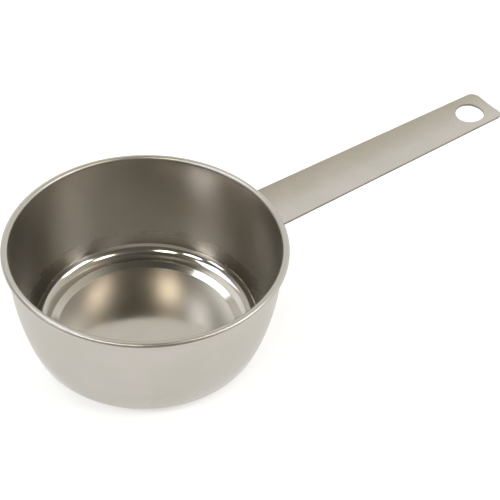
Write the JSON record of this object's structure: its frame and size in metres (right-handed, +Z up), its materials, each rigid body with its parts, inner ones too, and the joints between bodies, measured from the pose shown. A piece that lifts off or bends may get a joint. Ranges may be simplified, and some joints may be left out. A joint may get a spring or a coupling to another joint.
{
  "type": "candle melting pot",
  "caption": "Small round stainless steel melting pot with a rolled rim, a base pressed down in the centre and a long strip handle with a hanging hole.",
  "frame": {"origin": "centre of the flat face that the pot rests on, on the axis of the bowl", "axes": "+Z up along the axis of the bowl, +X along the handle from the bowl to its tip"},
  "size_m": [0.2517, 0.12, 0.0558],
  "materials": {
    "bowl_steel": "satin stainless steel, drawn and polished around the axis",
    "handle_steel": "satin stainless steel strip, grain along its length",
    "weld_steel": "fused steel inside the sheets"
  },
  "bodies": {
    "root": {"bowl": "bowl_steel", "handle": "handle_steel", "spot_weld_1": "weld_steel", "spot_weld_2": "weld_steel", "spot_weld_3": "weld_steel", "spot_weld_4": "weld_steel"}
  },
  "joints": []
}
